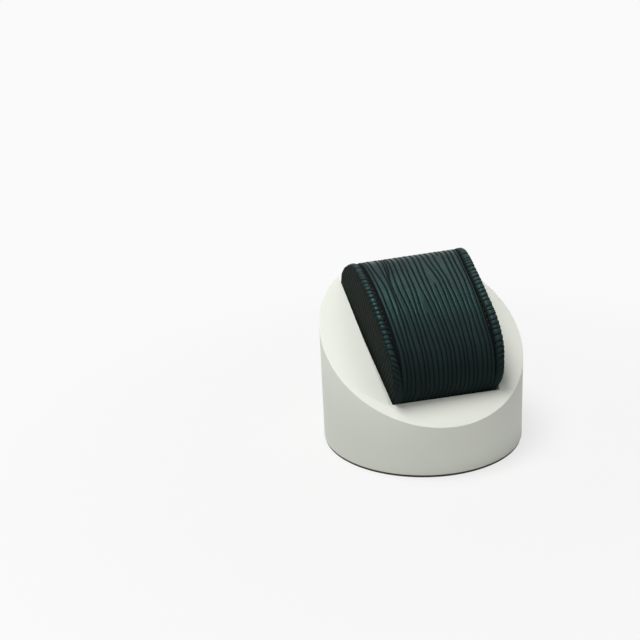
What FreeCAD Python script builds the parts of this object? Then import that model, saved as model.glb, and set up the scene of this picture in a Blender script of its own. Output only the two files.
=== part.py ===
import FreeCAD, Part
import math
import os
import Sketcher

# A round display stand for one wristwatch. A short cylinder is cut off at a slant, and a D-shaped
# cushion, over which a watch is buckled, lies in a shallow tapered pocket in the slope.
# Frame: origin at the middle of the underside, +Z up, the low edge of the slope towards -Y.
# The cushion's pieces are drawn in the slope's own frame and then laid on the slope:
# X across, Y up the slope, Z square to it, with its origin where the base's axis meets the slope.

SIZES = [
    ("rim_margin", 5.55, "least distance from the pocket's low corners to the base's wall, from above"),
    ("front_height", 25.0, "height of the slope's low edge above the table"),
    ("slope_angle", 29.5, "angle of the slope to the table, degrees"),
    ("edge_break", 0.5, "width of the broken edge at the rim and round the foot"),
    ("pad_thickness", 1.2, "felt pad under the base"),
    ("pad_inset", 0.4, "how far the pad stays back from the base's wall"),
    ("pocket_depth", 4.0, "depth of the cushion's pocket, square to the slope"),
    ("pocket_gap", 0.5, "play between the cushion and the pocket's walls"),
    ("strap_width", 28.0, "width of the strap channel in the pocket's floor"),
    ("strap_depth", 10.0, "depth of the strap channel below the pocket's floor"),
    ("strap_start", 8.0, "distance from the pocket's low wall to the channel's low end"),
    ("cushion_length", 83.0, "length of the cushion, measured up the slope"),
    ("cushion_width", 53.6, "width of the cushion's low end, over the piping"),
    ("cushion_rise", 26.0, "height of the cushion's crest above the slope"),
    ("cushion_shift", 1.7, "how far the cushion's middle lies up the slope from the base's axis"),
    ("cushion_flare", 2.5, "angle by which each end of the cushion opens up the slope, degrees"),
    ("shoulder_radius", 22.5, "radius of the two shoulders of the D"),
    ("cover_thickness", 1.9, "thickness of the pleated cover at the pleats' crests"),
    ("pleat_pitch", 2.5, "mean distance from pleat to pleat"),
    ("pleat_depth", 0.9, "depth of the folds between the pleats"),
    ("pleat_variation", 0.28, "share by which the pleats differ in width"),
    ("board_thickness", 2.0, "stiff board that closes the cushion's back"),
    ("panel_thickness", 2.0, "end panel of ribbed cloth on card"),
    ("piping_diameter", 3.1, "piping over the crests of its gathers"),
    ("gather_pitch", 2.2, "distance from gather to gather along the piping"),
    ("gather_depth", 0.35, "depth of the creases between the gathers"),
]

doc = FreeCAD.newDocument("WatchStand")
sheet = doc.addObject("Spreadsheet::Sheet", "Sizes")
for row, (alias, value, meaning) in enumerate(SIZES, 1):
    sheet.set(f"A{row}", meaning)
    sheet.set(f"B{row}", str(value))
    sheet.setAlias(f"B{row}", alias)
doc.recompute()

# Expressions that several pieces share.
ACROSS = FreeCAD.Vector(1, 0, 0)
HALF_LENGTH = "Sizes.cushion_length / 2"
SLOPE = "Sizes.slope_angle * 1 deg"
FLARE = "Sizes.cushion_flare * 1 deg"
LOW_END = f"(Sizes.cushion_shift - {HALF_LENGTH})"
FLOOR = "Sizes.pocket_depth"
# Where the pocket's low wall stands and how wide it is, and from its corners the base's radius.
POCKET_LOW = f"({LOW_END} - Sizes.pocket_gap)"
POCKET_WIDTH = "(Sizes.cushion_width + 2 * Sizes.pocket_gap)"
BASE_RADIUS = (f"(sqrt(({POCKET_WIDTH} / 2)^2 + ({POCKET_LOW} * cos({SLOPE}))^2)"
               " + Sizes.rim_margin)")
AXIS_HEIGHT = f"(Sizes.front_height + {BASE_RADIUS} * tan({SLOPE}))"
# Half width of the foam core halfway up the cushion, where its end plane is hinged by the flare.
CORE_HALF = (f"(Sizes.cushion_width / 2 - Sizes.piping_diameter"
             f" + {HALF_LENGTH} * tan({FLARE}))")


def size(alias):
    return float(sheet.get(alias))


def number(expression):
    return float(sheet.evalExpression(expression.replace("Sizes.", "")))


def origin_plane(body, role):
    return next(item for item in body.Origin.OriginFeatures if item.Role == role)


def new_body(label, on_slope=True):
    """A body, laid on the slope when its sketches are drawn in the slope's frame."""
    body = doc.addObject("PartDesign::Body", label)
    body.Label = label
    if on_slope:
        body.Placement = FreeCAD.Placement(FreeCAD.Vector(), FreeCAD.Rotation(ACROSS, 30))
        body.setExpression(".Placement.Base.z", AXIS_HEIGHT)
        body.setExpression(".Placement.Rotation.Angle", "Sizes.slope_angle")
    return body


def slope_placement():
    """Where a shape that is drawn in the slope's frame comes to lie."""
    turn = FreeCAD.Rotation(ACROSS, size("slope_angle"))
    return FreeCAD.Placement(FreeCAD.Vector(0, 0, number(AXIS_HEIGHT)), turn)


def new_sketch(body, name, role, offset=None, turn=None):
    """A sketch on an origin plane; offset gives expressions for x, y, z, turn an axis and angle."""
    sketch = body.newObject("Sketcher::SketchObject", name)
    sketch.AttachmentSupport = [(origin_plane(body, role), "")]
    sketch.MapMode = "FlatFace"
    if turn:
        axis, angle = turn
        sketch.AttachmentOffset = FreeCAD.Placement(FreeCAD.Vector(), FreeCAD.Rotation(axis, 30))
        sketch.setExpression(".AttachmentOffset.Rotation.Angle", angle)
    for letter, expression in (offset or {}).items():
        sketch.setExpression(f".AttachmentOffset.Base.{letter}", expression)
    return sketch


def bind(sketch, kind, *where, to, name):
    """Add a constraint with a value, and tie the value to an expression."""
    index = sketch.addConstraint(Sketcher.Constraint(kind, *where, number(to)))
    sketch.renameConstraint(index, name)
    sketch.setExpression(f"Constraints.{name}", to)


def closed_lines(sketch, points):
    """Straight lines through the points and back to the first, joined at their ends."""
    corners = [FreeCAD.Vector(x, y, 0) for x, y in points]
    first = len(sketch.Geometry)
    count = len(corners)
    for index, corner in enumerate(corners):
        sketch.addGeometry(Part.LineSegment(corner, corners[(index + 1) % count]), False)
    for index in range(count):
        sketch.addConstraint(Sketcher.Constraint(
            "Coincident", first + index, 2, first + (index + 1) % count, 1))
    return first


def tapered_outline(sketch, low, high, low_width, high_width, prefix):
    """A four-sided outline, even about the Y axis, between two cross lines low and high."""
    y0, y1 = number(low), number(high)
    w0, w1 = number(low_width) / 2, number(high_width) / 2
    first = closed_lines(sketch, [(-w0, y0), (w0, y0), (w1, y1), (-w1, y1)])
    for line in (first, first + 2):
        sketch.addConstraint(Sketcher.Constraint("Symmetric", line, 1, line, 2, -2))
    bind(sketch, "DistanceY", -1, 1, first, 1, to=low, name=prefix + "_low")
    bind(sketch, "DistanceY", -1, 1, first + 2, 1, to=high, name=prefix + "_high")
    bind(sketch, "DistanceX", first, 1, first, 2, to=low_width, name=prefix + "_low_width")
    bind(sketch, "DistanceX", first + 2, 2, first + 2, 1, to=high_width, name=prefix + "_high_width")


def arch_values(inset):
    """Expressions for a D drawn a distance inside the cushion's outer D: half length, rise of the
    crest above the slope, shoulder radius and the radius of the long crown between the shoulders."""
    half = f"({HALF_LENGTH} - {inset})"
    rise = f"(Sizes.cushion_rise - {inset})"
    shoulder = f"(Sizes.shoulder_radius - {inset})"
    crown = (f"((({half} - {shoulder})^2 + {rise}^2 - {shoulder}^2)"
             f" / (2 * ({rise} - {shoulder})))")
    return half, rise, shoulder, crown


def arch(sketch, inset, foot, closed=True):
    """The cushion's D: two straight ends from the foot up to the slope, two shoulders, one crown.
    The sketch's X runs up the slope and its Y square to it."""
    half_text, rise_text, shoulder_text, crown_text = arch_values(inset)
    half, rise, shoulder, crown = (number(text) for text in arch_values(inset))
    depth = number(foot)
    lean = math.atan2(crown - rise, half - shoulder)
    up = FreeCAD.Vector(0, 0, 1)
    low, high = FreeCAD.Vector(half, -depth, 0), FreeCAD.Vector(half, 0, 0)
    far_high, far_low = FreeCAD.Vector(-half, 0, 0), FreeCAD.Vector(-half, -depth, 0)

    def arc(x, y, radius, start, end):
        return Part.ArcOfCircle(Part.Circle(FreeCAD.Vector(x, y, 0), up, radius), start, end)

    sketch.addGeometry(Part.LineSegment(low, high), False)
    sketch.addGeometry(arc(half - shoulder, 0, shoulder, 0, lean), False)
    sketch.addGeometry(arc(0, rise - crown, crown, lean, math.pi - lean), False)
    sketch.addGeometry(arc(shoulder - half, 0, shoulder, math.pi - lean, math.pi), False)
    sketch.addGeometry(Part.LineSegment(far_high, far_low), False)
    for line in (0, 4):
        sketch.addConstraint(Sketcher.Constraint("Vertical", line))
    for index in range(4):
        sketch.addConstraint(Sketcher.Constraint("Tangent", index, 2, index + 1, 1))
    sketch.addConstraint(Sketcher.Constraint("Equal", 1, 3))
    sketch.addConstraint(Sketcher.Constraint("PointOnObject", 0, 2, -1))
    sketch.addConstraint(Sketcher.Constraint("Symmetric", 0, 1, 4, 2, -2))
    bind(sketch, "DistanceX", 4, 2, 0, 1, to=f"2 * {half_text}", name="length")
    bind(sketch, "DistanceY", 0, 1, 0, 2, to=foot, name="foot")
    bind(sketch, "Radius", 1, to=shoulder_text, name="shoulder")
    bind(sketch, "Radius", 2, to=crown_text, name="crown")
    if closed:
        sketch.addGeometry(Part.LineSegment(far_low, low), False)
        sketch.addConstraint(Sketcher.Constraint("Coincident", 4, 2, 5, 1))
        sketch.addConstraint(Sketcher.Constraint("Coincident", 5, 2, 0, 1))


def pad(body, name, sketch, length, both_ways=False, reverse=False):
    feature = body.newObject("PartDesign::Pad", name)
    feature.Profile = sketch
    feature.setExpression("Length", length)
    feature.Midplane = both_ways
    feature.Reversed = reverse
    return feature


def cut(body, name, sketch, both_ways=False, reverse=False):
    feature = body.newObject("PartDesign::Pocket", name)
    feature.Profile = sketch
    feature.Type = "ThroughAll"
    feature.Midplane = both_ways
    feature.Reversed = reverse
    return feature


def tilted_sketch(body, name, depth):
    """A sketch plane parallel to the slope and a depth below it, in the base's upright body."""
    offset = {"y": f"{depth} * sin({SLOPE})", "z": f"{AXIS_HEIGHT} - {depth} * cos({SLOPE})"}
    return new_sketch(body, name, "XY_Plane", offset, (ACROSS, "Sizes.slope_angle"))


def break_edges(body, name, width, wanted):
    """Break the sharp edges of the body so far that the test picks out."""
    doc.recompute()
    tip = body.Tip
    names = [f"Edge{index}" for index, edge in enumerate(tip.Shape.Edges, 1) if wanted(edge)]
    feature = body.newObject("PartDesign::Chamfer", name)
    feature.Base = (tip, names)
    feature.setExpression("Size", width)
    return feature


def build_base():
    """The base: one turned block, cut at a slant, with the cushion's tapered pocket and, in the
    pocket's floor, a channel for the strap and clasp. Both run out through the high rim."""
    body = new_body("base", on_slope=False)
    disc = new_sketch(body, "base_outline", "XY_Plane", {"z": "Sizes.pad_thickness"})
    disc.addGeometry(Part.Circle(FreeCAD.Vector(), FreeCAD.Vector(0, 0, 1), number(BASE_RADIUS)))
    disc.addConstraint(Sketcher.Constraint("Coincident", 0, 3, -1, 1))
    bind(disc, "Radius", 0, to=BASE_RADIUS, name="radius")
    pad(body, "base_block", disc, f"2 * {AXIS_HEIGHT}")

    reach = f"4 * {BASE_RADIUS}"
    slant = tilted_sketch(body, "slope_outline", "0")
    tapered_outline(slant, f"-{reach}", reach, reach, reach, "slope")
    cut(body, "slope_cut", slant, reverse=True)

    beyond = f"2 * {BASE_RADIUS}"
    high_width = f"({POCKET_WIDTH} + 2 * ({beyond} - {POCKET_LOW}) * tan({FLARE}))"
    pocket = tilted_sketch(body, "pocket_outline", FLOOR)
    tapered_outline(pocket, POCKET_LOW, beyond, POCKET_WIDTH, high_width, "pocket")
    cut(body, "cushion_pocket", pocket, reverse=True)

    channel = tilted_sketch(body, "channel_outline", f"({FLOOR} + Sizes.strap_depth)")
    tapered_outline(channel, f"({POCKET_LOW} + Sizes.strap_start)", beyond,
                    "Sizes.strap_width", "Sizes.strap_width", "channel")
    cut(body, "strap_channel", channel, reverse=True)

    radius = number(BASE_RADIUS)
    bottom = size("pad_thickness")

    def on_wall(edge):
        points = [edge.valueAt(edge.FirstParameter + part * (edge.LastParameter - edge.FirstParameter))
                  for part in (0.2, 0.5, 0.8)]
        return all(abs(math.hypot(point.x, point.y) - radius) < 0.01 for point in points)

    def on_slope(edge):
        middle = edge.valueAt((edge.FirstParameter + edge.LastParameter) / 2)
        height = number(AXIS_HEIGHT) + middle.y * math.tan(math.radians(size("slope_angle")))
        return abs(middle.z - height) < 0.01

    def is_bottom(edge):
        return edge.BoundBox.ZMax < bottom + 0.01

    break_edges(body, "broken_edges", "Sizes.edge_break",
                lambda edge: on_wall(edge) and (on_slope(edge) or is_bottom(edge)))
    return body


def build_base_pad():
    """The thin felt disc glued under the base."""
    disc = doc.addObject("Part::Cylinder", "base_pad")
    disc.setExpression("Radius", f"{BASE_RADIUS} - Sizes.pad_inset")
    disc.setExpression("Height", "Sizes.pad_thickness")
    return disc


def trim_to_flare(body, half_width):
    """Cut a cushion piece along the two flared end planes, half_width out at the middle."""
    reach = "Sizes.cushion_length"
    keep = new_sketch(body, f"{body.Label}_trim", "XY_Plane", {"y": "Sizes.cushion_shift"})
    tapered_outline(keep, f"-{reach}", reach, f"2 * ({half_width} - {reach} * tan({FLARE}))",
                    f"2 * ({half_width} + {reach} * tan({FLARE}))", "keep")
    outside = "8 * Sizes.cushion_width"
    tapered_outline(keep, f"-{reach} - 1", f"{reach} + 1", outside, outside, "outside")
    cut(body, f"{body.Label}_ends", keep, both_ways=True)


def build_cushion_core():
    """The block of firm foam that gives the cushion its D shape."""
    body = new_body("cushion_core")
    outline = new_sketch(body, "core_outline", "YZ_Plane", {"x": "Sizes.cushion_shift"})
    arch(outline, "Sizes.cover_thickness", f"({FLOOR} - Sizes.board_thickness)")
    pad(body, "core_block", outline, "2 * Sizes.cushion_width", both_ways=True)
    trim_to_flare(body, CORE_HALF)
    return body


def build_cushion_board():
    """The stiff board behind the foam, which lies on the pocket's floor."""
    body = new_body("cushion_board")
    half = f"({HALF_LENGTH} - Sizes.cover_thickness)"
    outline = new_sketch(body, "board_outline", "XY_Plane", {"y": "Sizes.cushion_shift", "z": f"-{FLOOR}"})
    tapered_outline(outline, f"-{half}", half, f"2 * ({CORE_HALF} - {half} * tan({FLARE}))",
                    f"2 * ({CORE_HALF} + {half} * tan({FLARE}))", "board")
    pad(body, "board_sheet", outline, "Sizes.board_thickness")
    return body


def pleat_edges(width):
    """Positions across the cover of the folds between the pleats, unevenly spaced."""
    count = max(3, round(width / size("pleat_pitch")))
    shares = [1 + size("pleat_variation") * math.sin(2.4 * index + 0.7 * math.sin(1.3 * index))
              for index in range(count)]
    scale = width / sum(shares)
    edges = [-width / 2]
    for share in shares:
        edges.append(edges[-1] + share * scale)
    return edges


def pleat_section(width, outer):
    """The cover's cut face at its low foot: smooth inside, outside a row of full pleats."""
    inner = outer - size("cover_thickness")
    fold = outer - size("pleat_depth")
    edges = pleat_edges(width)
    points = [(edges[-1], inner), (edges[0], inner)]
    for left, right in zip(edges, edges[1:]):
        side = 0.28 * (right - left)
        points += [(left, fold), (left + side, outer), (right - side, outer)]
    points += [(edges[-1], fold)]
    level = -size("pocket_depth")
    corners = [FreeCAD.Vector(x, -distance, level) for x, distance in points]
    return Part.Face(Part.makePolygon(corners + corners[:1]))


def build_pleated_cover():
    """The leather cover, pleated across its width and carried over the foam from foot to foot: the
    cut face runs up one end, round a shoulder, over the crown, round the other shoulder and down."""
    half, rise, shoulder, crown = (number(text) for text in arch_values("0"))
    lean = math.degrees(math.atan2(crown - rise, half - shoulder))
    foot = size("pocket_depth")
    widest = 2 * number(f"{CORE_HALF} + {HALF_LENGTH} * tan({FLARE})")
    section = pleat_section(widest, half)
    lengths = [section.extrude(FreeCAD.Vector(0, 0, foot))]
    section.translate(FreeCAD.Vector(0, 0, foot))
    for y, z, angle in ((shoulder - half, 0, lean), (0, rise - crown, 180 - 2 * lean),
                        (half - shoulder, 0, lean)):
        centre = FreeCAD.Vector(0, y, z)
        lengths.append(section.revolve(centre, ACROSS, -angle))
        section.rotate(centre, ACROSS, -angle)
    lengths.append(section.extrude(FreeCAD.Vector(0, 0, -foot)))
    whole = lengths[0].fuse(lengths[1:]).removeSplitter()
    whole.translate(FreeCAD.Vector(0, size("cushion_shift"), 0))

    middle, reach = number(CORE_HALF), size("cushion_length")
    spread = reach * math.tan(math.radians(size("cushion_flare")))
    below = -size("cushion_length")
    corners = [FreeCAD.Vector(x, size("cushion_shift") + y, below) for x, y in (
        (spread - middle, -reach), (middle - spread, -reach),
        (middle + spread, reach), (-middle - spread, reach))]
    keep = Part.Face(Part.makePolygon(corners + corners[:1]))
    cover = doc.addObject("Part::Feature", "pleated_cover")
    cover.Shape = whole.common(keep.extrude(FreeCAD.Vector(0, 0, 2 * reach)))
    cover.Placement = slope_placement()
    return cover


def build_end_panel(label, side):
    """One D-shaped end panel, flat on the foam's flared end, inside the piping."""
    body = new_body(label)
    turn = (FreeCAD.Vector(0, 1, 0), f"{-side} * Sizes.cushion_flare")
    outline = new_sketch(body, f"{label}_outline", "YZ_Plane",
                         {"x": "Sizes.cushion_shift", "z": f"{side} * {CORE_HALF}"}, turn)
    arch(outline, "Sizes.piping_diameter", FLOOR)
    pad(body, f"{label}_sheet", outline, "Sizes.panel_thickness", reverse=side < 0)
    return body


def arch_point(distance, inset, foot):
    """Point and outward direction on an open D, a distance along it from its low foot."""
    half, rise, shoulder, crown = (number(text) for text in arch_values(inset))
    lean = math.atan2(crown - rise, half - shoulder)
    turn, sweep = shoulder * lean, crown * (math.pi - 2 * lean)
    if distance < foot:
        return (-half, distance - foot), (-1, 0)
    distance -= foot
    if distance < turn:
        angle = math.pi - distance / shoulder
        centre, radius = (shoulder - half, 0), shoulder
    elif distance < turn + sweep:
        angle = math.pi - lean - (distance - turn) / crown
        centre, radius = (0, rise - crown), crown
    elif distance < 2 * turn + sweep:
        angle = lean - (distance - turn - sweep) / shoulder
        centre, radius = (half - shoulder, 0), shoulder
    else:
        return (half, 2 * turn + sweep - distance), (1, 0)
    out = (math.cos(angle), math.sin(angle))
    return (centre[0] + radius * out[0], centre[1] + radius * out[1]), out


def arch_length(inset, foot):
    half, rise, shoulder, crown = (number(text) for text in arch_values(inset))
    lean = math.atan2(crown - rise, half - shoulder)
    return 2 * foot + 2 * shoulder * lean + crown * (math.pi - 2 * lean)


def build_piping(label, side):
    """The piping round one end: a cord in gathered leather, so its thickness swells and shrinks
    from gather to gather. It lies on the foam's end, round the panel, from foot to foot."""
    crest = size("piping_diameter") / 2
    crease = crest - size("gather_depth")
    foot = size("pocket_depth")
    length = arch_length("Sizes.piping_diameter / 2", foot)
    gathers = round(length / size("gather_pitch"))
    ring_angles = [math.radians(angle) for angle in range(0, 360, 45)]
    flare = math.radians(size("cushion_flare"))
    along = FreeCAD.Vector(side * math.sin(flare), math.cos(flare), 0)
    outward = FreeCAD.Vector(side * math.cos(flare), -math.sin(flare), 0)
    square = FreeCAD.Vector(0, 0, 1)
    middle = FreeCAD.Vector(side * number(CORE_HALF), size("cushion_shift"), 0) + outward * crest
    rings = []
    for step in range(2 * gathers + 1):
        (run, height), (run_out, height_out) = arch_point(
            length * step / (2 * gathers), "Sizes.piping_diameter / 2", foot)
        centre = middle + along * run + square * height
        out = along * run_out + square * height_out
        radius = crest if step % 2 else crease
        ring = [centre + out * (radius * math.cos(angle)) + outward * (radius * math.sin(angle))
                for angle in ring_angles]
        rings.append(Part.makePolygon(ring + ring[:1]))
    piping = doc.addObject("Part::Feature", label)
    piping.Shape = Part.makeLoft(rings, True, True)
    piping.Placement = slope_placement()
    return piping


pieces = [
    build_base(),
    build_base_pad(),
    build_cushion_board(),
    build_cushion_core(),
    build_pleated_cover(),
    build_end_panel("end_panel_left", -1),
    build_end_panel("end_panel_right", 1),
    build_piping("piping_left", -1),
    build_piping("piping_right", 1),
]
doc.recompute()

failed = [item.Name for item in doc.Objects if "Invalid" in item.State or "Error" in item.State]
if failed:
    raise RuntimeError(f"these objects did not build: {failed}")
for piece in pieces:
    shape = piece.Shape
    if shape.isNull() or not shape.isValid() or len(shape.Solids) != 1:
        raise RuntimeError(f"{piece.Label} is not one sound solid")

os.makedirs("parts", exist_ok=True)
for piece in pieces:
    piece.Shape.exportStep(f"parts/{piece.Label}.step")
    box = piece.Shape.BoundBox
    print(f"{piece.Label:16s} {piece.Shape.Volume / 1000:8.2f} cm3   "
          f"x {box.XMin:7.2f} {box.XMax:7.2f}  y {box.YMin:7.2f} {box.YMax:7.2f}  "
          f"z {box.ZMin:7.2f} {box.ZMax:7.2f}")
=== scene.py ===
import bpy
import bmesh
import math
from mathutils import Matrix, Vector, noise


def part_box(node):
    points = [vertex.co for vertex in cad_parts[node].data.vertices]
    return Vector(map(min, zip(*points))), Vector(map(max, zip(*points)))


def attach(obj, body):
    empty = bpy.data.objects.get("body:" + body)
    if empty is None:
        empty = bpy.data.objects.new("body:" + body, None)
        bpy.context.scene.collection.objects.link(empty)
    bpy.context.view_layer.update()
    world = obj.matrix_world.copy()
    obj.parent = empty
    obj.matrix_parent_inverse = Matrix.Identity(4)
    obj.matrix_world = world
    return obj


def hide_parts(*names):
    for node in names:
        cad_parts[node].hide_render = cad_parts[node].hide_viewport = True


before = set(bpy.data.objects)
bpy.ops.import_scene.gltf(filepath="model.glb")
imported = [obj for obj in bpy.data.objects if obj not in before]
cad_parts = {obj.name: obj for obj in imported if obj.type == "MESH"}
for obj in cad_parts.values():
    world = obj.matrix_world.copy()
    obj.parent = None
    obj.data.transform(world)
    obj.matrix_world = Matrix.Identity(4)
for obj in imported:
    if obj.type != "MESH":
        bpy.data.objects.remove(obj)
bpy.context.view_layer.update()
scene = bpy.context.scene
mm = 0.001

# The slope's own frame, in mm: x across, y up the slope, h square to it, from the base's axis.
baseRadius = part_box("base")[1].x / mm
slope = {
    "angle": 29.5,        # degrees to the table
    "lowEdge": 25.0,      # height of the low edge above the table
}
slopeAngle = math.radians(slope["angle"])
slopeFrame = (Matrix.Translation((0, 0, (slope["lowEdge"] + baseRadius * math.tan(slopeAngle)) * mm))
              @ Matrix.Rotation(slopeAngle, 4, "X") @ Matrix.Scale(mm, 4))

cushion = {
    "length": 83.0,       # up the slope
    "rise": 26.0,         # crest above the slope
    "shoulder": 22.5,     # radius of the D's two shoulders
    "foot": 4.0,          # how far it reaches into the pocket
    "shift": 1.7,         # its middle lies this far up the slope from the base's axis
    "halfWidth": 25.51,   # middle to the plane of each end, under panel and piping
    "flare": 2.5,         # each end opens up the slope, degrees
    "cover": 1.9,         # thickness of the pleated cover
    "piping": 3.1,        # diameter of the piping
}
flare = math.radians(cushion["flare"])

# A used cushion isn't true. Places run up the slope from its middle, heights are off the slope, in mm.
settled = {
    "lean": 0.5,                # its crest lies this far to the right
    "shoulderLean": 0.8,        # and its shoulders this much more
    "shoulderReach": 30,
    "leanHeights": (-1, 6),
    "pull": 0.35,               # its sides pull in this far
    "pullPlace": 10,
    "pullReach": 35,
    "fullness": 1.5,            # its high shoulder stands this far out
    "fullnessTurn": 0.8,        # more on the right, less on the left
    "fullnessPlaces": (12, 34),
    "fullnessHeights": (0, 10),
    "fullnessAlong": 0.75,      # shares of it that go up the slope and off the slope
    "fullnessOff": 0.66,
    "skew": 0.55,               # its low foot is turned, forward on the left and back on the right
    "skewPlaces": (-41, -10),
    "bulge": 1.2,               # just above the high rim it swells this far
    "bulgeRises": (0, 5),
    "bulgeEnds": (6, 13),
    "tuck": 2.6,                # panel, piping and foam are drawn in under it there
    "tuckHeights": (-0.5, 3.2),
    "heelPlaces": (25, 38),     # where bulge and tuck come in
}


def onSlope(x, y, h):
    return slopeFrame @ Vector((x, y, h))


def ease(value, low, high):
    part = min(1, max(0, (value - low) / (high - low)))
    return part * part * (3 - 2 * part)


# A place in the cushion, y from its middle, moved as stuffing and use have moved the real one.
def onCushion(x, y, h, tuck=0):
    half = cushion["halfWidth"]
    lift = ease(h, *settled["leanHeights"])
    lean = settled["lean"] + settled["shoulderLean"] * min(1, (y / settled["shoulderReach"]) ** 2)
    pull = settled["pull"] * max(0, 1 - ((y - settled["pullPlace"]) / settled["pullReach"]) ** 2) * x / half
    full = (settled["fullness"] + settled["fullnessTurn"] * x / half) * ease(y, *settled["fullnessPlaces"])
    bulge = settled["bulge"] * ease(h, *settled["bulgeRises"]) * (1 - ease(h, *settled["bulgeEnds"]))
    heel = (bulge - tuck * (1 - ease(h, *settled["tuckHeights"]))) * ease(y, *settled["heelPlaces"])
    skew = settled["skew"] * x / half * (1 - ease(y, *settled["skewPlaces"]))
    along = y + cushion["shift"] + settled["fullnessAlong"] * full + heel + skew
    off = h + settled["fullnessOff"] * full * ease(h, *settled["fullnessHeights"])
    return onSlope(x + (lean - pull) * lift, along, off)


def dValues(inset):
    half = cushion["length"] / 2 - inset
    rise = cushion["rise"] - inset
    shoulder = cushion["shoulder"] - inset
    crown = ((half - shoulder) ** 2 + rise ** 2 - shoulder ** 2) / (2 * (rise - shoulder))
    return half, rise, shoulder, crown, math.atan2(crown - rise, half - shoulder)


def dLength(inset):
    half, rise, shoulder, crown, lean = dValues(inset)
    return 2 * cushion["foot"] + 2 * shoulder * lean + crown * (math.pi - 2 * lean)


# Point (y, h) and outward direction on the cushion's D, drawn inset from its outside,
# a distance round it from the low foot. y is measured from the cushion's middle.
def dPoint(distance, inset):
    half, rise, shoulder, crown, lean = dValues(inset)
    turn, sweep, foot = shoulder * lean, crown * (math.pi - 2 * lean), cushion["foot"]
    distance -= foot
    if distance < 0:
        return Vector((-half, distance)), Vector((-1, 0))
    if distance < turn:
        angle, radius = math.pi - distance / shoulder, shoulder
        centre = Vector((shoulder - half, 0))
    elif distance < turn + sweep:
        angle, radius = math.pi - lean - (distance - turn) / crown, crown
        centre = Vector((0, rise - crown))
    elif distance < 2 * turn + sweep:
        angle, radius = lean - (distance - turn - sweep) / shoulder, shoulder
        centre = Vector((half - shoulder, 0))
    else:
        return Vector((half, 2 * turn + sweep - distance)), Vector((1, 0))
    out = Vector((math.cos(angle), math.sin(angle)))
    return centre + radius * out, out


# Half width of the cushion between its flared ends, y from its middle.
def halfWidth(y):
    return cushion["halfWidth"] + y * math.tan(flare)


# A point on a flared end: run up the slope, height off it, out from the end plane.
def onEnd(side, run, height, out):
    return onCushion(side * (cushion["halfWidth"] + run * math.sin(flare) + out * math.cos(flare)),
                     run * math.cos(flare) - out * math.sin(flare), height, settled["tuck"])


# Which way a flared end faces: -1 left, 1 right.
def endFacing(side):
    return (slopeFrame.to_3x3() @ Vector((side * math.cos(flare), -math.sin(flare), 0))).normalized()


def linear(code):
    parts = [int(code[i:i + 2], 16) / 255 for i in (1, 3, 5)]
    return [c / 12.92 if c <= 0.04045 else ((c + 0.055) / 1.055) ** 2.4 for c in parts] + [1.0]


# Adds a node with its settings and links. An input is named or numbered, and takes a value,
# a socket or a node, whose first live output is used.
def addNode(tree, kind, inputs=None, **settings):
    node = tree.nodes.new(kind)
    for name, value in settings.items():
        setattr(node, name, value)
    for key, value in (inputs or {}).items():
        socket = node.inputs[key] if isinstance(key, int) else next(
            s for s in node.inputs if s.enabled and s.name == key)
        if isinstance(value, bpy.types.Node):
            value = next(s for s in value.outputs if s.enabled)
        if isinstance(value, bpy.types.NodeSocket):
            tree.links.new(value, socket)
        else:
            socket.default_value = value
    return node


def newMaterial(name):
    material = bpy.data.materials.new(name)
    material.use_nodes = True
    tree = material.node_tree
    return material, tree, tree.nodes["Principled BSDF"]


def setShader(shader, **values):
    names = {"roughness": "Roughness", "ior": "IOR", "sheen": "Sheen Weight",
             "sheenRoughness": "Sheen Roughness", "specular": "Specular IOR Level"}
    for key, value in values.items():
        shader.inputs[names[key]].default_value = value


# Links a colour to the shader, and a relief of so many mm.
def giveLook(tree, shader, colour, relief=None, strength=0.0, depth=0.0):
    tree.links.new(next(s for s in colour.outputs if s.enabled), shader.inputs["Base Color"])
    if relief:
        bump = addNode(tree, "ShaderNodeBump", {
            "Height": relief, "Strength": strength, "Distance": depth * mm})
        tree.links.new(bump.outputs[0], shader.inputs["Normal"])


def addObject(name, data):
    made = bpy.data.objects.new(name, data)
    scene.collection.objects.link(made)
    return made


def makePiece(name, points, faces, material=None, smooth=True, edges=()):
    mesh = bpy.data.meshes.new(name)
    mesh.from_pydata([tuple(p) for p in points], edges, faces)
    mesh.update()
    piece = addObject(name, mesh)
    if material:
        mesh.materials.append(material)
    if smooth:
        mesh.shade_smooth()
    return piece


def makeLine(name, points):
    return makePiece(name, points, (), smooth=False, edges=[(i, i + 1) for i in range(len(points) - 1)])


# Stores a number or a vector at each point of a piece.
def store(piece, name, values):
    if isinstance(values[0], Vector):
        attribute = piece.data.attributes.new(name, "FLOAT_VECTOR", "POINT")
        attribute.data.foreach_set("vector", [c for v in values for c in v])
    else:
        piece.data.attributes.new(name, "FLOAT", "POINT").data.foreach_set("value", values)


def outward(piece):
    shape = bmesh.new()
    shape.from_mesh(piece.data)
    bmesh.ops.recalc_face_normals(shape, faces=shape.faces)
    shape.to_mesh(piece.data)
    shape.free()


# Quads between rings of as many points each, and a face over the first and last ring.
def loft(name, rings, material=None, smooth=True):
    count = len(rings[0])
    points = [p for ring in rings for p in ring]
    faces = [(r * count + i, r * count + (i + 1) % count,
              (r + 1) * count + (i + 1) % count, (r + 1) * count + i)
             for r in range(len(rings) - 1) for i in range(count)]
    faces += [tuple(range(count))[::-1], tuple(range((len(rings) - 1) * count, len(rings) * count))]
    piece = makePiece(name, points, faces, material, smooth)
    outward(piece)
    return piece


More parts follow.
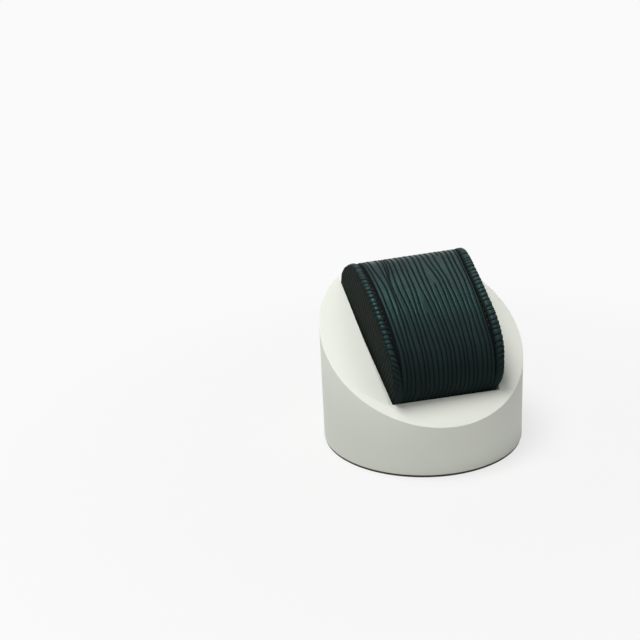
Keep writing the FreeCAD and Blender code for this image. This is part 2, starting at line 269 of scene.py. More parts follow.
# Starts a Geometry Nodes tree with a geometry input and named sizes: name -> (socket kind, value).
# Also gives the sockets these come in by.
def newTree(name, sizes):
    tree = bpy.data.node_groups.new(name, "GeometryNodeTree")
    tree.interface.new_socket("Geometry", in_out="INPUT", socket_type="NodeSocketGeometry")
    tree.interface.new_socket("Geometry", in_out="OUTPUT", socket_type="NodeSocketGeometry")
    for label, (kind, _) in sizes.items():
        tree.interface.new_socket(label, in_out="INPUT", socket_type="NodeSocket" + kind)
    return tree, tree.nodes.new("NodeGroupInput").outputs


# A range in mm, as the inputs of a node that maps it.
def fromTo(low, high):
    return {"From Min": low * mm, "From Max": high * mm}


def endTree(tree, geometry, material):
    real = addNode(tree, "GeometryNodeRealizeInstances", {"Geometry": geometry})
    smooth = addNode(tree, "GeometryNodeSetShadeSmooth", {"Geometry": real})
    painted = addNode(tree, "GeometryNodeSetMaterial", {"Geometry": smooth, "Material": material})
    addNode(tree, "NodeGroupOutput", {"Geometry": painted})


# Turns a piece, as its modifiers leave it, into a plain mesh.
def makePlainMesh(piece):
    bpy.context.view_layer.update()
    evaluated = piece.evaluated_get(bpy.context.evaluated_depsgraph_get())
    made = bpy.data.meshes.new_from_object(evaluated)
    piece.modifiers.clear()
    old = piece.data
    piece.data = made
    bpy.data.meshes.remove(old)
    made.name = piece.name
    return piece


# Runs a tree on a piece with its sizes.
def runTree(piece, tree, sizes):
    modifier = piece.modifiers.new(tree.name, "NODES")
    modifier.node_group = tree
    for item in tree.interface.items_tree:
        if item.in_out == "INPUT" and item.name in sizes:
            modifier[item.identifier] = sizes[item.name][1]
    return makePlainMesh(piece)


# Matt white lacquer: an even, slightly warm white with a faint sprayed grain.
def makeLacquer():
    material, tree, shader = newMaterial("mattWhiteLacquer")
    setShader(shader, roughness=0.55, ior=1.5, specular=0.35)
    place = addNode(tree, "ShaderNodeTexCoord").outputs["Object"]
    cloud = addNode(tree, "ShaderNodeTexNoise", {"Vector": place, "Scale": 25.0, "Detail": 3.0})
    tint = addNode(tree, "ShaderNodeMix", {"Factor": cloud, "A": linear("#e0e3da"), "B": linear("#e7e9e0")},
                   data_type="RGBA")
    spray = addNode(tree, "ShaderNodeTexNoise", {"Vector": place, "Scale": 1 / (0.35 * mm)})
    giveLook(tree, shader, tint, spray, 0.12, 0.05)
    return material


# Dark teal leather with a pearly pigment finish: nearly black green-blue that shines teal where
# a fold faces the light, with a soft broad gloss and a fine grain.
def makeLeather():
    material, tree, shader = newMaterial("tealPearlLeather")
    setShader(shader, ior=1.5, specular=0.15)
    place = addNode(tree, "ShaderNodeTexCoord").outputs["Object"]
    patch = addNode(tree, "ShaderNodeTexNoise", {"Vector": place, "Scale": 90.0, "Detail": 3.0})
    tint = addNode(tree, "ShaderNodeMix", {"Factor": patch, "A": linear("#162728"), "B": linear("#253f3c")},
                   data_type="RGBA")
    fold = addNode(tree, "ShaderNodeAttribute", attribute_name="fold").outputs["Fac"]
    # Painted shade: where the 'fold' attribute is high (in folds, the seam's groove, on the pipings' flanks
    # and towards the low ends) the colour goes to near black, and the finish also loses its pearl and turns
    # rough.
    shadeCurve = addNode(tree, "ShaderNodeMath", {0: fold, 1: 0.46}, operation="POWER", use_clamp=True)
    shadeAndDull = addNode(tree, "ShaderNodeMath", {0: shadeCurve, 1: 0.96}, operation="MULTIPLY")
    shade = addNode(tree, "ShaderNodeMix", {"Factor": shadeAndDull, "A": tint, "B": linear("#040808")},
                    data_type="RGBA")
    pearl = addNode(tree, "ShaderNodeMapRange", {"Value": shadeAndDull, "To Min": 0.75, "To Max": 0.0})
    rough = addNode(tree, "ShaderNodeMapRange", {"Value": shadeAndDull, "To Min": 0.32, "To Max": 0.95})
    tree.links.new(pearl.outputs[0], shader.inputs["Metallic"])
    tree.links.new(rough.outputs[0], shader.inputs["Roughness"])
    cells = addNode(tree, "ShaderNodeTexVoronoi", {"Vector": place, "Scale": 1 / (0.55 * mm)},
                    feature="DISTANCE_TO_EDGE")
    grain = addNode(tree, "ShaderNodeTexNoise", {"Vector": place, "Scale": 1 / (0.3 * mm), "Detail": 4.0})
    mixed = addNode(tree, "ShaderNodeMath", {0: cells, 1: 0.6, 2: grain}, operation="MULTIPLY_ADD")
    giveLook(tree, shader, shade, mixed, 0.35, 0.08)
    return material


# Ribbed cloth, woven: near-black green cords with a dull nap, a little lighter on their tops.
def makeRibbedCloth(pitch):
    material, tree, shader = newMaterial("ribbedGreenCloth")
    setShader(shader, roughness=0.9, ior=1.45, specular=0.06)
    place = addNode(tree, "ShaderNodeUVMap", uv_map="cloth")
    parts = addNode(tree, "ShaderNodeSeparateXYZ", {0: place})
    turn = addNode(tree, "ShaderNodeMath", {0: parts.outputs["X"], 1: math.pi / (pitch * mm)},
                   operation="MULTIPLY")
    wave = addNode(tree, "ShaderNodeMath", {0: turn}, operation="SINE")
    top = addNode(tree, "ShaderNodeMath", {0: wave}, operation="ABSOLUTE")
    tint = addNode(tree, "ShaderNodeMix", {"Factor": top, "A": linear("#171c19"), "B": linear("#2c332e")},
                   data_type="RGBA")
    # Painted shade: the colour goes to near black where the 'border' attribute says, along the edge that
    # turns in under the piping.
    border = addNode(tree, "ShaderNodeAttribute", attribute_name="border").outputs["Fac"]
    shade = addNode(tree, "ShaderNodeMix", {"Factor": border, "A": tint, "B": linear("#050706")},
                    data_type="RGBA")
    yarn = addNode(tree, "ShaderNodeTexNoise", {"Vector": place, "Scale": 1 / (0.35 * mm)})
    giveLook(tree, shader, shade, yarn, 0.5, 0.1)
    return material


# A plain material: one pattern mixes its two colours, and may raise the surface by a strength and mm.
def makePlain(name, pattern, settings, colours, relief=None, **values):
    material, tree, shader = newMaterial(name)
    setShader(shader, **values)
    place = addNode(tree, "ShaderNodeTexCoord").outputs["Object"]
    spots = addNode(tree, pattern, {"Vector": place, **settings})
    tint = addNode(tree, "ShaderNodeMix", {
        "Factor": spots, "A": linear(colours[0]), "B": linear(colours[1])}, data_type="RGBA")
    if relief:
        giveLook(tree, shader, tint, spots, *relief)
    else:
        giveLook(tree, shader, tint)
    return material


ribPitch = 2.25           # mm from rib to rib of the cloth
lacquer, leather, cloth = makeLacquer(), makeLeather(), makeRibbedCloth(ribPitch)
# Pressed wool felt: dark brown, dull and slightly fuzzy.
felt = makePlain("brownPressedFelt", "ShaderNodeTexNoise", {"Scale": 1 / (0.5 * mm), "Detail": 4.0},
                 ("#33281f", "#57493a"), (0.6, 0.15), roughness=0.95, ior=1.45, sheen=0.2, sheenRoughness=0.6)
# Grey board, pressed from paper pulp: flat grey with darker flecks.
board = makePlain("greyPulpBoard", "ShaderNodeTexNoise", {"Scale": 1 / (0.8 * mm), "Detail": 5.0},
                  ("#6a6963", "#8d8c85"), roughness=0.9, ior=1.45)
# Polyurethane foam: pale, full of small open cells.
foam = makePlain("paleFoam", "ShaderNodeTexVoronoi", {"Scale": 1 / (0.6 * mm)},
                 ("#b9b29d", "#d6d0be"), (0.6, 0.2), roughness=0.95, ior=1.45)
# Spun polyester seam thread: dull brown with a faint shine.
thread = makePlain("brownSeamThread", "ShaderNodeTexNoise", {"Scale": 1 / (0.2 * mm)},
                   ("#2a2520", "#453c33"), roughness=0.6, ior=1.5)
print("materials made")

# The turned base: a disc cut at a slant, with the cushion's pocket and the strap channel in it.
baseSizes = {
    "sides": 256,         # facets round the wall
    "edge": 0.6,          # radius of the softened rim, mm
    "pocketGap": 0.5,     # play round the cushion
    "strapWidth": 28.0,
    "strapDepth": 10.0,   # below the pocket's floor
    "strapStart": 8.0,    # from the pocket's low wall
    "sharp": 30,          # edges sharper than this are softened, degrees
}


# A cutting box from a floor below the slope to well above it.
def boxBelowSlope(name, low, high, lowHalf, highHalf, floor):
    top = 2 * cushion["rise"]
    corners = [(-lowHalf, low), (lowHalf, low), (highHalf, high), (-highHalf, high)]
    rings = [[onSlope(x, y, h) for x, y in corners] for h in (floor, top)]
    return loft(name, rings, smooth=False)


def makeBase():
    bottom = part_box("base")[0].z
    tall = 4 * baseRadius * mm    # before the slanted cut
    shape = bmesh.new()
    bmesh.ops.create_cone(shape, cap_ends=True, segments=baseSizes["sides"], radius1=baseRadius * mm,
                          radius2=baseRadius * mm, depth=tall,
                          matrix=Matrix.Translation((0, 0, bottom + tall / 2)))
    cut = bmesh.ops.bisect_plane(shape, geom=shape.verts[:] + shape.edges[:] + shape.faces[:],
                                 plane_co=onSlope(0, 0, 0), plane_no=slopeFrame.to_3x3() @ Vector((0, 0, 1)),
                                 clear_outer=True)
    rim = [e for e in cut["geom_cut"] if isinstance(e, bmesh.types.BMEdge)]
    bmesh.ops.edgeloop_fill(shape, edges=rim)
    bmesh.ops.recalc_face_normals(shape, faces=shape.faces)
    mesh = bpy.data.meshes.new("standBase")
    shape.to_mesh(mesh)
    shape.free()
    piece = addObject("standBase", mesh)

    gap = baseSizes["pocketGap"]
    low = cushion["shift"] - cushion["length"] / 2 - gap
    high = 2 * baseRadius         # past the high rim
    lowHalf = halfWidth(-cushion["length"] / 2) + cushion["piping"] + gap
    pocket = boxBelowSlope("pocketTool", low, high, lowHalf, lowHalf + (high - low) * math.tan(flare),
                           -cushion["foot"])
    strapHalf = baseSizes["strapWidth"] / 2
    channel = boxBelowSlope("channelTool", low + baseSizes["strapStart"], high, strapHalf, strapHalf,
                            -cushion["foot"] - baseSizes["strapDepth"])
    for tool in (pocket, channel):
        cutter = piece.modifiers.new(tool.name, "BOOLEAN")
        cutter.object = tool
        cutter.operation = "DIFFERENCE"
        cutter.solver = "EXACT"
    soft = piece.modifiers.new("softEdge", "BEVEL")
    soft.width = baseSizes["edge"] * mm
    soft.segments = 4
    soft.limit_method = "ANGLE"
    soft.angle_limit = math.radians(baseSizes["sharp"])
    soft.harden_normals = True
    makePlainMesh(piece)
    piece.data.materials.clear()
    piece.data.materials.append(lacquer)
    for tool in (pocket, channel):
        bpy.data.objects.remove(tool)
    return piece


base = makeBase()
base.data.shade_smooth()
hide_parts("base")
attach(base, "root")
print("base made:", len(base.data.polygons), "faces")

# The pleated cover. Its folds are lines on the flat leather: x from the middle, at stations
# round the D from the low foot, in mm. None is where a fold has run out or joined its neighbour.
pleats = {
    "stations": (0, 28, 48, 66, 88, 118),
    "folds": (
        (-22.6, -21.8, -22.0, -22.0, -22.5, -22.3),
        (-20.4, -20.0, -19.4, -19.0, -20.6, -20.4),
        (-18.0, -17.8, -17.1, -16.8, -16.9, -17.6),
        (-14.6, -15.4, -15.3, -15.9, -14.6, -14.4),
        (None, None, None, -15.9, -13.2, -12.9),
        (-12.3, -12.6, -12.4, -13.2, -11.8, -11.6),
        (-10.4, -10.6, -10.1, -10.3, -9.6, -9.9),
        (-7.9, -8.2, -8.3, -7.4, -7.0, -7.6),
        (-5.6, -5.5, -6.0, -5.2, -4.7, -5.3),
        (-3.4, -2.9, -3.6, None, None, None),
        (-1.2, -0.4, -1.0, -2.4, -2.2, -2.8),
        (1.1, 1.7, 1.3, 0.2, 0.6, -0.2),
        (3.6, 3.9, 3.2, 2.6, 3.1, 2.3),
        (5.8, 6.4, 5.9, 5.5, None, None),
        (8.2, 8.5, 8.3, 8.1, 5.6, 5.0),
        (10.6, 10.4, 10.9, 10.4, 8.1, 7.7),
        (12.8, 13.1, 13.4, 12.6, 10.9, 10.4),
        (None, None, None, None, 13.4, 13.2),
        (15.0, 14.9, 16.0, 15.6, 15.3, 15.6),
        (17.6, 17.9, 18.0, 18.2, 17.9, 18.0),
        (20.0, 20.4, 20.4, 20.6, 20.1, 20.3),
        (22.4, 22.6, 22.7, 22.8, 22.6, 22.5),
    ),
    "foldDepth": 1.2,             # from a pleat's crest down into the fold
    "footDepth": 0.55,            # share of it at the low foot, where the leather is pulled taut
    "footReach": (12, 30),
    "roll": 0.85,                 # radius of the leather's turn into a fold
    "foldStep": 2,                # between a fold's points
    "wander": 0.16,               # how far a fold strays from its line
    "wanderLength": 7.0,
    "seamEdge": 24.0,             # where the cover drops to the seam beside the piping
    "seamEdgeLow": 24.7,          # at the low foot
    "seamEdgeReach": (20, 34),
    "seamRoll": 0.8,
    "seamDepth": 1.75,
    "deepest": 0.85,              # share of the leather's thickness that folds may take
    "unevenness": 0.4,            # pleats differ in height by this
    "unevenRate": (330.0, 22.0, 0.0),     # so often a metre, across and along
    "wrinkles": 0.1,              # depth of the fine wrinkles along the pleats
    "wrinkleRate": (1500.0, 90.0, 0.0),
    "footShade": 0.46,            # painted shade: the leather darkens towards the low foot
    "footShadeReach": (8, 50),
    "columns": 372,
    "rows": 236,
}


def foldLine(places):
    stations = pleats["stations"]
    known = [(s, x) for s, x in zip(stations, places) if x is not None]
    points = []
    for (s0, x0), (s1, x1) in zip(known, known[1:]):
        steps = max(2, round((s1 - s0) / pleats["foldStep"]))
        for step in range(steps):
            part = step / steps
            points.append((s0 + (s1 - s0) * part, x0 + (x1 - x0) * ease(part, 0, 1)))
    points.append(known[-1])
    own = known[-2][1] * 3.1      # each fold has its own place in the noise
    stray = [noise.noise(Vector((own, s / pleats["wanderLength"], 4.0))) for s, _ in points]
    return [Vector((x + pleats["wander"] * w, s, 0)) * mm for (s, x), w in zip(points, stray)]


def makeCoverShell():
    length, inner = dLength(0), cushion["cover"]
    columns, rows = pleats["columns"], pleats["rows"]
    points, flat, out = [], [], []
    for row in range(rows + 1):
        distance = length * row / rows
        (y, h), (outY, outH) = dPoint(distance, 0)
        innerPoint = (y - outY * inner, h - outH * inner)
        for column in range(columns + 1):
            share = 2 * column / columns - 1
            points.append(onCushion(share * halfWidth(y), y, h))
            flat.append(Vector((share * cushion["halfWidth"], distance, 0)) * mm)
            out.append((slopeFrame.to_3x3() @ Vector((0, outY, outH))).normalized())
        for share in (1, -1):
            points.append(onCushion(share * halfWidth(innerPoint[0]), *innerPoint))
            flat.append(Vector((0, 0, 0)))
            out.append(Vector((0, 0, 0)))
    ring = columns + 3
    faces = [(r * ring + i, (r + 1) * ring + i, (r + 1) * ring + (i + 1) % ring, r * ring + (i + 1) % ring)
             for r in range(rows) for i in range(ring)]
    faces += [tuple(range(ring)), tuple(range(rows * ring, (rows + 1) * ring))[::-1]]
    piece = makePiece("pleatedCover", points, faces)
    store(piece, "flatPlace", flat)
    store(piece, "outward", out)
    outward(piece)
    return piece


# 0 to 1 over the round shoulder that leather makes as it turns into a fold.
def roundDrop(tree, value, power):
    raised = addNode(tree, "ShaderNodeMath", {0: value, 1: power}, operation="POWER")
    rest = addNode(tree, "ShaderNodeMath", {0: 1.0, 1: raised}, operation="SUBTRACT")
    level = addNode(tree, "ShaderNodeMath", {0: rest}, operation="SQRT")
    return addNode(tree, "ShaderNodeMath", {0: 1.0, 1: level}, operation="SUBTRACT")


def makePleatTree(material):
    sizes = {
        "Folds": ("Object", None),
        "Fold Depth": ("Float", pleats["foldDepth"] * mm),
        "Roll": ("Float", pleats["roll"] * mm),
        "Seam Edge": ("Float", pleats["seamEdge"] * mm),
        "Seam Edge Low": ("Float", pleats["seamEdgeLow"] * mm),
        "Seam Depth": ("Float", pleats["seamDepth"] * mm),
        "Deepest": ("Float", pleats["deepest"] * cushion["cover"] * mm),
        "Unevenness": ("Float", pleats["unevenness"] * mm),
        "Wrinkles": ("Float", pleats["wrinkles"] * mm),
    }
    tree, size = newTree("pleats", sizes)
    flat = addNode(tree, "GeometryNodeInputNamedAttribute", {"Name": "flatPlace"}, data_type="FLOAT_VECTOR")
    out = addNode(tree, "GeometryNodeInputNamedAttribute", {"Name": "outward"}, data_type="FLOAT_VECTOR")
    parts = addNode(tree, "ShaderNodeSeparateXYZ", {0: flat})
    folds = addNode(tree, "GeometryNodeObjectInfo", {"Object": size["Folds"]})
    near = addNode(tree, "GeometryNodeProximity", {
        "Geometry": folds.outputs["Geometry"], "Sample Position": flat}, target_element="EDGES")
    # Each fold: the leather rolls over and down into a sharp crease.
    into = addNode(tree, "ShaderNodeMapRange", {
        "Value": near.outputs["Distance"], "From Max": size["Roll"], "To Min": 1.0, "To Max": 0.0})
    drop = roundDrop(tree, into, 2.0)
    taut = addNode(tree, "ShaderNodeMapRange", {
        "Value": parts.outputs["Y"], **fromTo(*pleats["footReach"]), "To Min": pleats["footDepth"]})
    depth = addNode(tree, "ShaderNodeMath", {0: size["Fold Depth"], 1: taut}, operation="MULTIPLY")
    fold = addNode(tree, "ShaderNodeMath", {0: drop, 1: depth}, operation="MULTIPLY")
    # The seam: the cover's edges drop beside the pipings.
    away = addNode(tree, "ShaderNodeMath", {0: parts.outputs["X"]}, operation="ABSOLUTE")
    edgeHere = addNode(tree, "ShaderNodeMapRange", {
        "Value": parts.outputs["Y"], **fromTo(*pleats["seamEdgeReach"]),
        "To Min": size["Seam Edge Low"], "To Max": size["Seam Edge"]})
    inside = addNode(tree, "ShaderNodeMath", {0: edgeHere, 1: away}, operation="SUBTRACT")
    over = addNode(tree, "ShaderNodeMapRange", {
        "Value": inside, "From Max": pleats["seamRoll"] * mm, "To Min": 1.0, "To Max": 0.0})
    overDrop = roundDrop(tree, over, 2.0)
    seam = addNode(tree, "ShaderNodeMath", {0: overDrop, 1: size["Seam Depth"]}, operation="MULTIPLY")
    sink = addNode(tree, "ShaderNodeMath", {0: fold, 1: seam}, operation="MAXIMUM")
    # Pleats stand unevenly high, and fine wrinkles run along them.
    slow = addNode(tree, "ShaderNodeVectorMath", {0: flat, 1: pleats["unevenRate"]}, operation="MULTIPLY")
    lift = addNode(tree, "ShaderNodeTexNoise", {"Vector": slow, "Scale": 1.0, "Detail": 1.0})
    uneven = addNode(tree, "ShaderNodeMath", {0: lift, 1: size["Unevenness"]}, operation="MULTIPLY")
    fine = addNode(tree, "ShaderNodeVectorMath", {0: flat, 1: pleats["wrinkleRate"]}, operation="MULTIPLY")
    crinkle = addNode(tree, "ShaderNodeTexNoise", {"Vector": fine, "Scale": 1.0})
    wrinkle = addNode(tree, "ShaderNodeMath", {0: crinkle, 1: size["Wrinkles"]}, operation="MULTIPLY")
    loss = addNode(tree, "ShaderNodeMath", {0: sink, 1: uneven}, operation="ADD")
    total = addNode(tree, "ShaderNodeMath", {0: loss, 1: wrinkle}, operation="ADD")
    within = addNode(tree, "ShaderNodeMath", {0: total, 1: size["Deepest"]}, operation="MINIMUM")
    amount = addNode(tree, "ShaderNodeMath", {0: within, 1: -1.0}, operation="MULTIPLY")
    offset = addNode(tree, "ShaderNodeVectorMath", {0: out, "Scale": amount}, operation="SCALE")
    moved = addNode(tree, "GeometryNodeSetPosition", {"Geometry": size["Geometry"], "Offset": offset})
    # Painted shade for the leather's colour: darker in the folds and the seam's groove, and towards the low
    # foot.
    deep = addNode(tree, "ShaderNodeMath", {0: sink, 1: size["Fold Depth"]}, operation="DIVIDE")
    foot = addNode(tree, "ShaderNodeMapRange", {
        "Value": parts.outputs["Y"], **fromTo(*pleats["footShadeReach"]),
        "To Min": pleats["footShade"], "To Max": 0.0})
    dark = addNode(tree, "ShaderNodeMath", {0: deep, 1: foot}, operation="ADD")
    marked = addNode(tree, "GeometryNodeStoreNamedAttribute", {
        "Geometry": moved, "Name": "fold", "Value": dark})
    endTree(tree, marked, material)
    return tree, sizes


foldPoints, foldEdges = [], []
for places in pleats["folds"]:
    line = foldLine(places)
    foldEdges += [(len(foldPoints) + i, len(foldPoints) + i + 1) for i in range(len(line) - 1)]
    foldPoints += line
foldLines = makePiece("foldLines", foldPoints, (), smooth=False, edges=foldEdges)

pleatTree, pleatSizes = makePleatTree(leather)
pleatSizes["Folds"] = ("Object", foldLines)
cover = runTree(makeCoverShell(), pleatTree, pleatSizes)
bpy.data.objects.remove(foldLines)
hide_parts("pleated_cover")
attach(cover, "root")
print("cover made:", len(cover.data.polygons), "faces")

# The pipings: a cord in gathered leather round each end. Its radius and how far its middle
# stands out from the cushion's end change along the way, at places round the D from the low foot.
piping = {
    "places": (0, 6, 14, 40, 62, 78, 96, 118),
    "radius": (1.2, 1.5, 1.75, 1.95, 1.95, 1.95, 1.7, 1.5),
    "standsOut": {
        "left": (0.0, 0.8, 1.6, 1.95, 1.8, 1.6, 1.5, 1.5),
        "right": (1.1, 1.5, 2.1, 3.1, 2.2, 2.1, 1.9, 1.55),
    },
    "proud": 0.15,              # above the cushion's outline
    "proudReach": 4,            # full from this height off the slope
    "gatherPitch": 2.65,
    "gatherDrift": 1.1,         # they come unevenly, by up to this share of the pitch
    "gatherDepth": 0.72,
    "gatherFlat": 3.2,          # the higher, the flatter their tops
    "gatherLean": (-0.75, -0.1),  # at the low end and beyond it
    "gatherLeanReach": (20, 32),
    "gathersBegin": (9, 22),    # they deepen over this stretch, and die out over that one
    "gathersEnd": (86, 98),
    "gathersLeast": (0.15, 0.2),  # shares left of them at the low and the high end
    "widening": 1.7,            # the sleeve laps over the cover's edge at the low end
    "wideningReach": (8, 30),
    "flange": {                 # and at least this far all along, where it stands clear of the cover
        "left": 0.0,
        "right": 1.3,
    },
    "grooveShade": (-0.3, -0.85),  # painted shade: its flanks darken between these facings, -1 inwards, 1 outwards
    "panelShade": (0.72, 1.0),
    "footShade": 0.32,          # painted shade: the leather darkens towards the low end
    "footShadeReach": (12, 36),
    "points": 240,              # along its middle line
    "step": 0.2,                # distance between rings of the tube
    "sides": 28,
}


def between(places, values, place):
    for (a, va), (b, vb) in zip(zip(places, values), list(zip(places, values))[1:]):
        if place <= b:
            return va + (vb - va) * ease(place, a, b)
    return values[-1]


def makePipingLine(side, name):
    length = dLength(0)
    points, radii = [], []
    for step in range(piping["points"] + 1):
        place = length * step / piping["points"]
        (run, height), (outRun, outHeight) = dPoint(place, 0)
        radius = between(piping["places"], piping["radius"], place)
        out = between(piping["places"], piping["standsOut"][name], place)
        deep = radius - piping["proud"] * ease(height, 0, piping["proudReach"])
        points.append(onEnd(side, run - outRun * deep, height - outHeight * deep, out))
        radii.append(radius)
    line = makeLine(f"gatheredPiping_{name}", points)
    store(line, "radius", radii)
    return line


def makePipingTree(material):
    sizes = {
        "Pitch": ("Float", piping["gatherPitch"] * mm),
        "Depth": ("Float", piping["gatherDepth"] * mm),
        "Step": ("Float", piping["step"] * mm),
        "Widening": ("Float", piping["widening"] * mm),
        "Flange": ("Float", 0.0),
        "Side Axis": ("Vector", (1.0, 0.0, 0.0)),
    }
    tree, size = newTree("gathers", sizes)
    path = addNode(tree, "GeometryNodeMeshToCurve", {"Mesh": size["Geometry"]})
    even = addNode(tree, "GeometryNodeResampleCurve", {"Curve": path, "Length": size["Step"]}, mode="LENGTH")
    along = addNode(tree, "GeometryNodeSplineParameter")
    kept = addNode(tree, "GeometryNodeStoreNamedAttribute", {
        "Geometry": even, "Name": "along", "Value": along.outputs["Length"]}, domain="POINT")
    ring = addNode(tree, "GeometryNodeCurvePrimitiveCircle", {"Resolution": piping["sides"], "Radius": mm})
    radius = addNode(tree, "GeometryNodeInputNamedAttribute", {"Name": "radius"}, data_type="FLOAT")
    tube = addNode(tree, "GeometryNodeCurveToMesh", {
        "Curve": kept, "Profile Curve": ring, "Scale": radius, "Fill Caps": True})
    run = addNode(tree, "GeometryNodeInputNamedAttribute", {"Name": "along"}, data_type="FLOAT")
    facing = addNode(tree, "GeometryNodeInputNormal")
    side = addNode(tree, "ShaderNodeVectorMath", {0: facing.outputs["Normal"], 1: size["Side Axis"]},
                   operation="DOT_PRODUCT")
    # Gathers come unevenly, and lean more towards the low end.
    count = addNode(tree, "ShaderNodeMath", {0: run, 1: size["Pitch"]}, operation="DIVIDE")
    drift = addNode(tree, "ShaderNodeTexNoise", {"W": count, "Scale": 0.45, "Detail": 1.0},
                    noise_dimensions="1D")
    early = addNode(tree, "ShaderNodeMath", {0: drift, 1: piping["gatherDrift"], 2: count},
                    operation="MULTIPLY_ADD")
    lean = addNode(tree, "ShaderNodeMapRange", {
        "Value": run, **fromTo(*piping["gatherLeanReach"]),
        "To Min": piping["gatherLean"][0], "To Max": piping["gatherLean"][1]})
    phase = addNode(tree, "ShaderNodeMath", {0: side.outputs["Value"], 1: lean, 2: early},
                    operation="MULTIPLY_ADD")
    part = addNode(tree, "ShaderNodeMath", {0: phase}, operation="FRACT")
    centred = addNode(tree, "ShaderNodeMath", {0: part, 1: 0.5}, operation="SUBTRACT")
    spread = addNode(tree, "ShaderNodeMath", {0: centred}, operation="ABSOLUTE")
    edge = addNode(tree, "ShaderNodeMath", {0: spread, 1: 2.0}, operation="MULTIPLY")
    drop = roundDrop(tree, edge, piping["gatherFlat"])
    starts = addNode(tree, "ShaderNodeMapRange", {
        "Value": run, **fromTo(*piping["gathersBegin"]), "To Min": piping["gathersLeast"][0]})
    ends = addNode(tree, "ShaderNodeMapRange", {
        "Value": run, **fromTo(*piping["gathersEnd"]), "To Min": 1.0, "To Max": piping["gathersLeast"][1]})
    strength = addNode(tree, "ShaderNodeMath", {0: starts, 1: ends}, operation="MULTIPLY")
    crease = addNode(tree, "ShaderNodeMath", {0: drop, 1: strength}, operation="MULTIPLY")
    sink = addNode(tree, "ShaderNodeMath", {0: crease, 1: size["Depth"]}, operation="MULTIPLY")
    down = addNode(tree, "ShaderNodeMath", {0: sink, 1: -1.0}, operation="MULTIPLY")
    gathered = addNode(tree, "ShaderNodeVectorMath", {0: facing.outputs["Normal"], "Scale": down},
                       operation="SCALE")
    # Towards the low foot the sleeve flattens out over the cover's edge.
    inward = addNode(tree, "ShaderNodeMath", {0: side.outputs["Value"], 1: 0.0}, operation="MINIMUM")
    flat = addNode(tree, "ShaderNodeMapRange", {
        "Value": run, **fromTo(*piping["wideningReach"]), "To Min": 1.0, "To Max": 0.0},
        interpolation_type="SMOOTHSTEP")
    overlap = addNode(tree, "ShaderNodeMath", {0: flat, 1: size["Widening"]}, operation="MULTIPLY")
    grow = addNode(tree, "ShaderNodeMath", {0: overlap, 1: size["Flange"]}, operation="MAXIMUM")
    reach = addNode(tree, "ShaderNodeMath", {0: inward, 1: grow}, operation="MULTIPLY")
    widened = addNode(tree, "ShaderNodeVectorMath", {0: size["Side Axis"], "Scale": reach}, operation="SCALE")
    offset = addNode(tree, "ShaderNodeVectorMath", {0: gathered, 1: widened}, operation="ADD")
    moved = addNode(tree, "GeometryNodeSetPosition", {"Geometry": tube, "Offset": offset})
    # Painted shade, stored as 'fold' for the leather's colour: both its flanks, the one in the seam's groove
    # and the one down on the panel, the creases between gathers, and more towards the low end.
    low, high = piping["grooveShade"]
    grooveSide = addNode(tree, "ShaderNodeMapRange", {
        "Value": side.outputs["Value"], "From Min": low, "From Max": high})
    low, high = piping["panelShade"]
    panelSide = addNode(tree, "ShaderNodeMapRange", {
        "Value": side.outputs["Value"], "From Min": low, "From Max": high, "To Max": 0.9})
    flank = addNode(tree, "ShaderNodeMath", {0: grooveSide, 1: panelSide}, operation="MAXIMUM")
    foot = addNode(tree, "ShaderNodeMapRange", {
        "Value": run, **fromTo(*piping["footShadeReach"]), "To Min": piping["footShade"], "To Max": 0.0})
    deep = addNode(tree, "ShaderNodeMath", {0: flank, 1: crease}, operation="MAXIMUM")
    shaded = addNode(tree, "ShaderNodeMath", {0: deep, 1: foot}, operation="ADD")
    marked = addNode(tree, "GeometryNodeStoreNamedAttribute", {
        "Geometry": moved, "Name": "fold", "Value": shaded})
    endTree(tree, marked, material)
    return tree, sizes


pipingTree, pipingSizes = makePipingTree(leather)
for side, name in ((-1, "left"), (1, "right")):
    pipingSizes["Side Axis"] = ("Vector", tuple(endFacing(side)))
    pipingSizes["Flange"] = ("Float", piping["flange"][name] * mm)
    piece = runTree(makePipingLine(side, name), pipingTree, pipingSizes)
    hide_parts(f"piping_{name}")
    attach(piece, "root")
    print("piping made:", len(piece.data.polygons), "faces")

# The seam thread in the groove beside each piping.
stitch = {
    "pitch": 3.0,
    "length": 1.0,
    "thickness": 0.24,
    "inside": 0.45,       # from the cover's end
    "below": 1.6,         # under the cover's outside
    "from": 36.0,         # the gathers hide it nearer the feet
    "to": 90.0,
    "points": 120,        # along its line
}


def makeStitchTree(material):
    sizes = {
        "Pitch": ("Float", stitch["pitch"] * mm),
        "Length": ("Float", stitch["length"] * mm),
        "Thickness": ("Float", stitch["thickness"] * mm),
    }
    tree, size = newTree("stitches", sizes)
    path = addNode(tree, "GeometryNodeMeshToCurve", {"Mesh": size["Geometry"]})
    points = addNode(tree, "GeometryNodeCurveToPoints", {"Curve": path, "Length": size["Pitch"]},
                     mode="LENGTH")
    bead = addNode(tree, "GeometryNodeMeshUVSphere", {"Segments": 8, "Rings": 6, "Radius": 0.5})
    shape = addNode(tree, "ShaderNodeCombineXYZ", {
        "X": size["Thickness"], "Y": size["Thickness"], "Z": size["Length"]})
    placed = addNode(tree, "GeometryNodeInstanceOnPoints", {
        "Points": points.outputs["Points"], "Instance": bead.outputs["Mesh"],
        "Rotation": points.outputs["Rotation"], "Scale": shape})
    endTree(tree, placed, material)
    return tree, sizes


stitchTree, stitchSizes = makeStitchTree(thread)
for side, name in ((-1, "left"), (1, "right")):
    path = []
    for step in range(stitch["points"] + 1):
        place = stitch["from"] + (stitch["to"] - stitch["from"]) * step / stitch["points"]
        (y, h), _ = dPoint(place, stitch["below"])
        path.append(onCushion(side * (halfWidth(y) - stitch["inside"]), y, h))
    piece = runTree(makeLine(f"seamThread_{name}", path), stitchTree, stitchSizes)
    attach(piece, "root")

